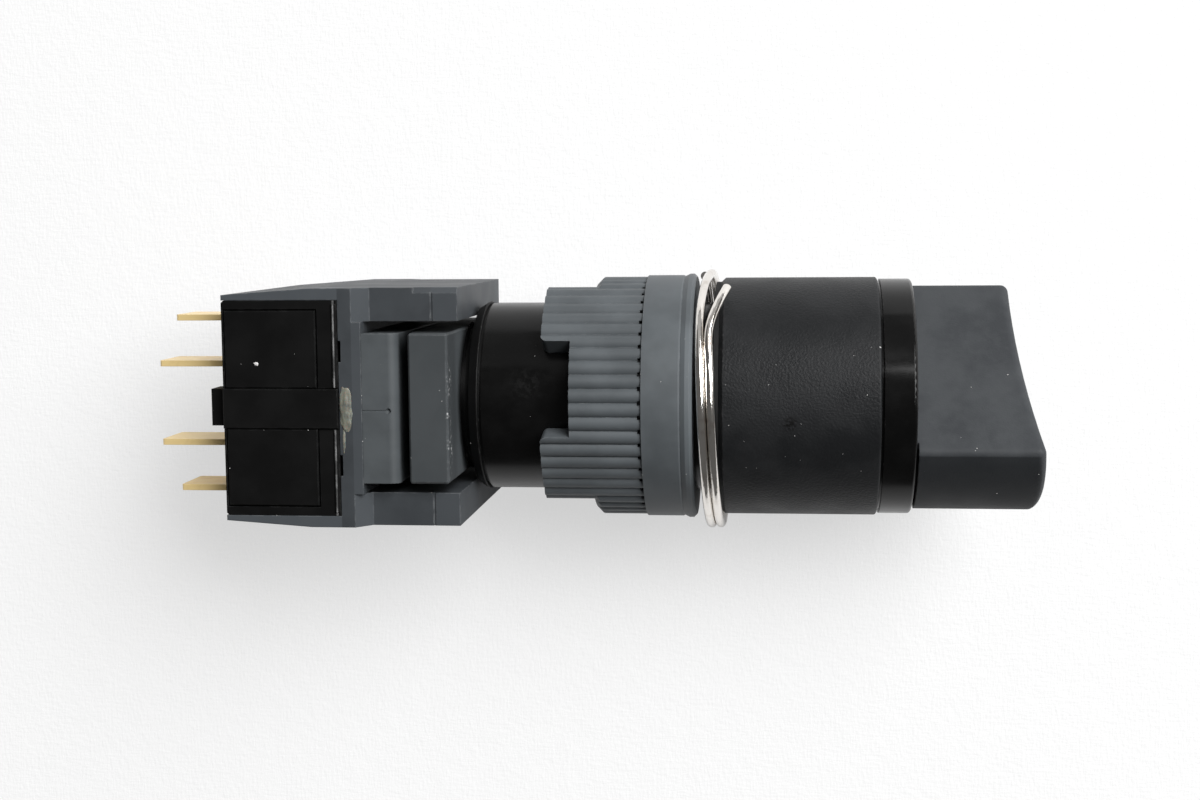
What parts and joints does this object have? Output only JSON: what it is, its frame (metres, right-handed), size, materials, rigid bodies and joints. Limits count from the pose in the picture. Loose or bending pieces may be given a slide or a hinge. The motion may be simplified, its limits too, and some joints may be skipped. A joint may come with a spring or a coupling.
{
  "type": "rotary switch",
  "caption": "Panel-mount selector switch with a bar knob, long round bezel, ribbed ring nut and a rear contact block with push-on tabs.",
  "frame": {"origin": "on the switch axis, in the plane where the bezel seats on the panel", "axes": "+X along the switch axis towards the knob, +Z the side that faces up as the switch lies, +Y across it"},
  "size_m": [0.0726, 0.022, 0.0232],
  "materials": {
    "knob_plastic": "satin",
    "gloss_black": "gloss",
    "satin_black": "satin, fine grain",
    "block_black": "satin",
    "grey_plastic": "matt",
    "inner_plastic": "matt",
    "nickel": "polished",
    "gold_plate": "polished",
    "spring_steel": "bright",
    "black_rubber": "matt"
  },
  "bodies": {
    "switch_body": {"barrel_body": "gloss_black", "bezel_sleeve": "satin_black", "split_ring": "nickel", "mounting_nut": "grey_plastic", "coupling_block": "grey_plastic", "adapter_frame": "grey_plastic", "contact_block_upper": "block_black", "contact_block_lower": "block_black", "block_cover_upper": "block_black", "block_cover_lower": "block_black", "block_clip": "block_black", "terminal_1": "gold_plate", "terminal_2": "gold_plate", "terminal_3": "gold_plate", "terminal_4": "gold_plate", "panel_gasket": "black_rubber", "click_spring": "spring_steel", "contact_spring_upper": "spring_steel", "contact_spring_lower": "spring_steel"},
    "rotor": {"knob": "knob_plastic", "spindle": "inner_plastic", "shaft_seal": "black_rubber", "cam_rotor": "inner_plastic", "cam_clip": "spring_steel"},
    "upper_contact": {"plunger_upper": "inner_plastic", "contact_bridge_upper": "gold_plate"},
    "lower_contact": {"plunger_lower": "inner_plastic", "contact_bridge_lower": "gold_plate"}
  },
  "joints": [
    {"name": "knob_turn", "type": "hinge", "parent": "switch_body", "child": "rotor", "pos_m": [0, 0, 0], "axis": [1, 0, 0], "range_deg": [-90, 0], "deforming": ["click_spring"]},
    {"name": "upper_plunger_travel", "type": "slide", "parent": "switch_body", "child": "upper_contact", "axis": [-1, 0, 0], "range_m": [0, 0.0017], "deforming": ["contact_spring_upper"]},
    {"name": "lower_plunger_travel", "type": "slide", "parent": "switch_body", "child": "lower_contact", "axis": [-1, 0, 0], "range_m": [-0.0017, 0], "deforming": ["contact_spring_lower"]}
  ],
  "couplings": [
    {"joint": "upper_plunger_travel", "follows": "knob_turn", "m_per_rad": -0.0010186},
    {"joint": "lower_plunger_travel", "follows": "knob_turn", "m_per_rad": 0.0010186}
  ]
}
